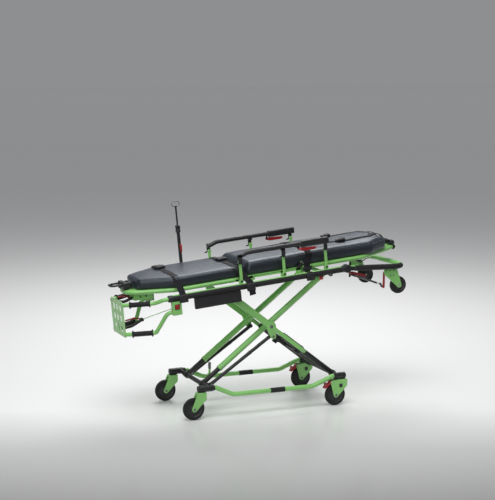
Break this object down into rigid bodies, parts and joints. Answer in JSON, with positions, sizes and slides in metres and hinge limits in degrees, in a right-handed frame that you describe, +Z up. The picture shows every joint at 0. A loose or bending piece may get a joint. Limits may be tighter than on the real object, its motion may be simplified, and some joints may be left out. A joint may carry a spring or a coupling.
{
  "type": "ambulance cot",
  "caption": "Wheeled ambulance cot: padded three-section litter with folding side guards and a loading hoop, on a telescoping X frame with swivel casters.",
  "frame": {"origin": "on the floor under the middle of the whole cot", "axes": "+X to the head end with the loading hoop, +Y to the far side with the infusion pole, +Z up"},
  "size_m": [2.103, 0.613, 1.4029],
  "materials": {
    "green_paint": "gloss apple-green powder coat",
    "black_paint": "satin black powder coat",
    "black_rubber": "matte black tread on a black hub",
    "black_plastic": "fine-grained black moulding",
    "red_plastic": "red moulding",
    "black_vinyl": "black coated fabric over foam, with a soft sheen"
  },
  "bodies": {
    "base": {"foot_yoke": "black_paint", "head_yoke": "black_paint", "base_tube_near": "green_paint", "base_tube_far": "green_paint", "bump_post": "black_plastic"},
    "caster_foot_near": {"caster_fork_foot_near": "green_paint"},
    "wheel_foot_near": {"caster_wheel_foot_near": "black_rubber"},
    "caster_foot_far": {"caster_fork_foot_far": "green_paint"},
    "wheel_foot_far": {"caster_wheel_foot_far": "black_rubber"},
    "caster_head_near": {"caster_fork_head_near": "green_paint"},
    "wheel_head_near": {"caster_wheel_head_near": "black_rubber"},
    "brake_pedal_near": {"brake_pedal_near": "red_plastic"},
    "caster_head_far": {"caster_fork_head_far": "green_paint"},
    "wheel_head_far": {"caster_wheel_head_far": "black_rubber"},
    "brake_pedal_far": {"brake_pedal_far": "red_plastic"},
    "leg_b_lower": {"leg_b_lower": "black_paint"},
    "leg_b_upper": {"leg_b_upper": "green_paint"},
    "leg_a_lower": {"leg_a_lower_near": "black_paint", "leg_a_lower_far": "black_paint"},
    "leg_a_upper": {"leg_a_upper": "green_paint"},
    "struts": {"strut_near": "black_paint", "strut_far": "black_paint"},
    "litter": {"side_rail_near": "black_paint", "side_rail_far": "black_paint", "head_cross_tube": "green_paint", "side_panel": "black_plastic", "seat_deck": "green_paint", "mattress_seat": "black_vinyl", "handle_frame": "green_paint", "grip_upper_near": "black_plastic", "grip_upper_far": "black_plastic", "grip_lower_near": "black_plastic", "grip_lower_far": "black_plastic", "lower_release_grip": "black_plastic"},
    "back_section": {"back_frame": "green_paint", "mattress_back": "black_vinyl"},
    "leg_section": {"leg_frame": "green_paint", "mattress_leg": "black_vinyl", "foot_pull_handle": "black_plastic", "upper_release_grip": "black_plastic"},
    "upper_release_lever": {"upper_release_lever": "red_plastic"},
    "lower_release_lever": {"lower_release_lever": "red_plastic"},
    "release_button_near": {"release_button_near": "red_plastic"},
    "release_button_far": {"release_button_far": "red_plastic"},
    "guard_post_near_1": {"guard_post_near_1": "green_paint"},
    "guard_post_near_2": {"guard_post_near_2": "green_paint"},
    "guard_post_near_3": {"guard_post_near_3": "green_paint"},
    "guard_rail_near": {"guard_rail_near": "black_plastic"},
    "guard_trigger_near": {"guard_trigger_near": "red_plastic"},
    "guard_post_far_1": {"guard_post_far_1": "green_paint"},
    "guard_post_far_2": {"guard_post_far_2": "green_paint"},
    "guard_post_far_3": {"guard_post_far_3": "green_paint"},
    "guard_rail_far": {"guard_rail_far": "black_plastic"},
    "guard_trigger_far": {"guard_trigger_far": "red_plastic"},
    "iv_pole_lower": {"iv_pole_lower": "black_paint"},
    "iv_pole_upper": {"iv_pole_upper": "black_paint"},
    "loading_hoop": {"loading_hoop": "green_paint"},
    "safety_bar": {"safety_bar": "black_paint"},
    "loading_wheel_near": {"loading_wheel_near": "black_rubber"},
    "loading_wheel_far": {"loading_wheel_far": "black_rubber"}
  },
  "joints": [
    {"name": "caster_foot_near_swivel", "type": "hinge", "parent": "base", "child": "caster_foot_near", "pos_m": [-0.51337, -0.28, 0.1824], "axis": [0, 0, 1], "continuous": true},
    {"name": "caster_foot_near_roll", "type": "hinge", "parent": "caster_foot_near", "child": "wheel_foot_near", "pos_m": [-0.56637, -0.28, 0.075], "axis": [0, 1, 0], "continuous": true},
    {"name": "caster_foot_far_swivel", "type": "hinge", "parent": "base", "child": "caster_foot_far", "pos_m": [-0.51337, 0.28, 0.1824], "axis": [0, 0, 1], "continuous": true},
    {"name": "caster_foot_far_roll", "type": "hinge", "parent": "caster_foot_far", "child": "wheel_foot_far", "pos_m": [-0.56637, 0.28, 0.075], "axis": [0, 1, 0], "continuous": true},
    {"name": "caster_head_near_swivel", "type": "hinge", "parent": "base", "child": "caster_head_near", "pos_m": [0.53063, -0.28, 0.1824], "axis": [0, 0, 1], "continuous": true},
    {"name": "caster_head_near_roll", "type": "hinge", "parent": "caster_head_near", "child": "wheel_head_near", "pos_m": [0.47763, -0.28, 0.075], "axis": [0, 1, 0], "continuous": true},
    {"name": "brake_pedal_near_press", "type": "hinge", "parent": "caster_head_near", "child": "brake_pedal_near", "pos_m": [0.44663, -0.28, 0.1649], "axis": [0, -1, 0], "range_deg": [0, 10]},
    {"name": "caster_head_far_swivel", "type": "hinge", "parent": "base", "child": "caster_head_far", "pos_m": [0.53063, 0.28, 0.1824], "axis": [0, 0, 1], "continuous": true},
    {"name": "caster_head_far_roll", "type": "hinge", "parent": "caster_head_far", "child": "wheel_head_far", "pos_m": [0.47763, 0.28, 0.075], "axis": [0, 1, 0], "continuous": true},
    {"name": "brake_pedal_far_press", "type": "hinge", "parent": "caster_head_far", "child": "brake_pedal_far", "pos_m": [0.44663, 0.28, 0.1649], "axis": [0, -1, 0], "range_deg": [0, 10]},
    {"name": "lift", "type": "hinge", "parent": "base", "child": "leg_b_lower", "pos_m": [0.50163, 0, 0.205], "axis": [0, -1, 0], "range_deg": [0, 29.77]},
    {"name": "leg_b_slide", "type": "slide", "parent": "leg_b_lower", "child": "leg_b_upper", "axis": [-0.7905, 0, 0.6125], "range_m": [-0.18385, 0.001]},
    {"name": "litter_tilt", "type": "hinge", "parent": "leg_b_upper", "child": "litter", "pos_m": [-0.26044, 0, 0.7955], "axis": [0, 1, 0], "range_deg": [-0.2, 37.86]},
    {"name": "leg_a_swing", "type": "hinge", "parent": "base", "child": "leg_a_lower", "pos_m": [-0.45337, 0, 0.205], "axis": [0, 1, 0], "range_deg": [-0.2, 31.75]},
    {"name": "leg_a_slide", "type": "slide", "parent": "leg_a_lower", "child": "leg_a_upper", "axis": [0.7905, 0, 0.6125], "range_m": [-0.06402, 0.001]},
    {"name": "strut_swing", "type": "hinge", "parent": "base", "child": "struts", "pos_m": [-0.40537, 0, 0.205], "axis": [0, 1, 0], "range_deg": [-0.2, 33.63]},
    {"name": "back_tilt", "type": "hinge", "parent": "litter", "child": "back_section", "pos_m": [0.23701, 0, 1.00575], "axis": [0, -1, 0], "range_deg": [0, 70]},
    {"name": "leg_tilt", "type": "hinge", "parent": "litter", "child": "leg_section", "pos_m": [-0.18081, 0, 0.9218], "axis": [0, 1, 0], "range_deg": [0, 25]},
    {"name": "upper_release_squeeze", "type": "hinge", "parent": "leg_section", "child": "upper_release_lever", "pos_m": [-0.91031, -0.02, 0.80162], "axis": [0, -1, 0], "range_deg": [0, 10], "stiffness_Nm_per_rad": 0.6, "springref_deg": -2.86},
    {"name": "lower_release_squeeze", "type": "hinge", "parent": "litter", "child": "lower_release_lever", "pos_m": [-0.83899, -0.035, 0.65465], "axis": [0, -1, 0], "range_deg": [0, 10], "stiffness_Nm_per_rad": 0.6, "springref_deg": -2.86},
    {"name": "release_button_near_press", "type": "slide", "parent": "litter", "child": "release_button_near", "axis": [0, 1, 0], "range_m": [0, 0.0035], "stiffness_N_per_m": 400, "springref_m": -0.002},
    {"name": "release_button_far_press", "type": "slide", "parent": "litter", "child": "release_button_far", "axis": [0, -1, 0], "range_m": [0, 0.0035], "stiffness_N_per_m": 400, "springref_m": -0.002},
    {"name": "guard_near_fold", "type": "hinge", "parent": "litter", "child": "guard_post_near_1", "pos_m": [-0.22104, -0.2795, 0.91184], "axis": [0, -1, 0], "range_deg": [0, 85]},
    {"name": "guard_near_post_2", "type": "hinge", "parent": "litter", "child": "guard_post_near_2", "pos_m": [0.09248, -0.2795, 0.94242], "axis": [0, -1, 0], "range_deg": [-0.2, 85.2]},
    {"name": "guard_near_post_3", "type": "hinge", "parent": "litter", "child": "guard_post_near_3", "pos_m": [0.40599, -0.2795, 0.97299], "axis": [0, -1, 0], "range_deg": [-0.2, 85.2]},
    {"name": "guard_near_rail", "type": "hinge", "parent": "guard_post_near_1", "child": "guard_rail_near", "pos_m": [-0.23366, -0.2795, 1.04123], "axis": [0, -1, 0], "range_deg": [-85.2, 0.2]},
    {"name": "guard_trigger_near_squeeze", "type": "hinge", "parent": "guard_rail_near", "child": "guard_trigger_near", "pos_m": [0.20026, -0.2795, 1.10444], "axis": [0, -1, 0], "range_deg": [0, 4], "stiffness_Nm_per_rad": 0.6, "springref_deg": -2.86},
    {"name": "guard_far_fold", "type": "hinge", "parent": "litter", "child": "guard_post_far_1", "pos_m": [-0.22104, 0.2795, 0.91184], "axis": [0, -1, 0], "range_deg": [0, 85]},
    {"name": "guard_far_post_2", "type": "hinge", "parent": "litter", "child": "guard_post_far_2", "pos_m": [0.09248, 0.2795, 0.94242], "axis": [0, -1, 0], "range_deg": [-0.2, 85.2]},
    {"name": "guard_far_post_3", "type": "hinge", "parent": "litter", "child": "guard_post_far_3", "pos_m": [0.40599, 0.2795, 0.97299], "axis": [0, -1, 0], "range_deg": [-0.2, 85.2]},
    {"name": "guard_far_rail", "type": "hinge", "parent": "guard_post_far_1", "child": "guard_rail_far", "pos_m": [-0.23366, 0.2795, 1.04123], "axis": [0, -1, 0], "range_deg": [-85.2, 0.2]},
    {"name": "guard_trigger_far_squeeze", "type": "hinge", "parent": "guard_rail_far", "child": "guard_trigger_far", "pos_m": [0.20026, 0.2795, 1.10444], "axis": [0, -1, 0], "range_deg": [0, 4], "stiffness_Nm_per_rad": 0.6, "springref_deg": -2.86},
    {"name": "iv_pole_fold", "type": "hinge", "parent": "litter", "child": "iv_pole_lower", "pos_m": [-0.43502, 0.2795, 0.89098], "axis": [0, 1, 0], "range_deg": [-86, 0]},
    {"name": "iv_pole_slide", "type": "slide", "parent": "iv_pole_lower", "child": "iv_pole_upper", "axis": [-0.0971, 0, 0.9953], "range_m": [-0.1, 0.14]},
    {"name": "loading_hoop_fold", "type": "hinge", "parent": "litter", "child": "loading_hoop", "pos_m": [0.55877, 0, 0.95172], "axis": [0, -1, 0], "range_deg": [-90, 0]},
    {"name": "loading_wheel_near_roll", "type": "hinge", "parent": "loading_hoop", "child": "loading_wheel_near", "pos_m": [0.97976, -0.244, 0.80665], "axis": [0, 1, 0], "continuous": true},
    {"name": "loading_wheel_far_roll", "type": "hinge", "parent": "loading_hoop", "child": "loading_wheel_far", "pos_m": [0.97976, 0.244, 0.80665], "axis": [0, 1, 0], "continuous": true},
    {"name": "safety_bar_swing", "type": "hinge", "parent": "loading_hoop", "child": "safety_bar", "pos_m": [0.86172, 0, 0.89921], "axis": [0, 1, 0], "range_deg": [0, 35]}
  ],
  "couplings": [
    {"joint": "leg_b_slide", "follows": "lift", "m_per_rad": -0.3519},
    {"joint": "litter_tilt", "follows": "lift", "ratio": 1.2649},
    {"joint": "leg_a_swing", "follows": "lift", "ratio": 1.0598},
    {"joint": "leg_a_slide", "follows": "lift", "m_per_rad": -0.12128},
    {"joint": "strut_swing", "follows": "lift", "ratio": 1.1229},
    {"joint": "guard_near_post_2", "follows": "guard_near_fold", "ratio": 1},
    {"joint": "guard_near_post_3", "follows": "guard_near_fold", "ratio": 1},
    {"joint": "guard_near_rail", "follows": "guard_near_fold", "ratio": -1},
    {"joint": "guard_far_post_2", "follows": "guard_far_fold", "ratio": 1},
    {"joint": "guard_far_post_3", "follows": "guard_far_fold", "ratio": 1},
    {"joint": "guard_far_rail", "follows": "guard_far_fold", "ratio": -1}
  ]
}
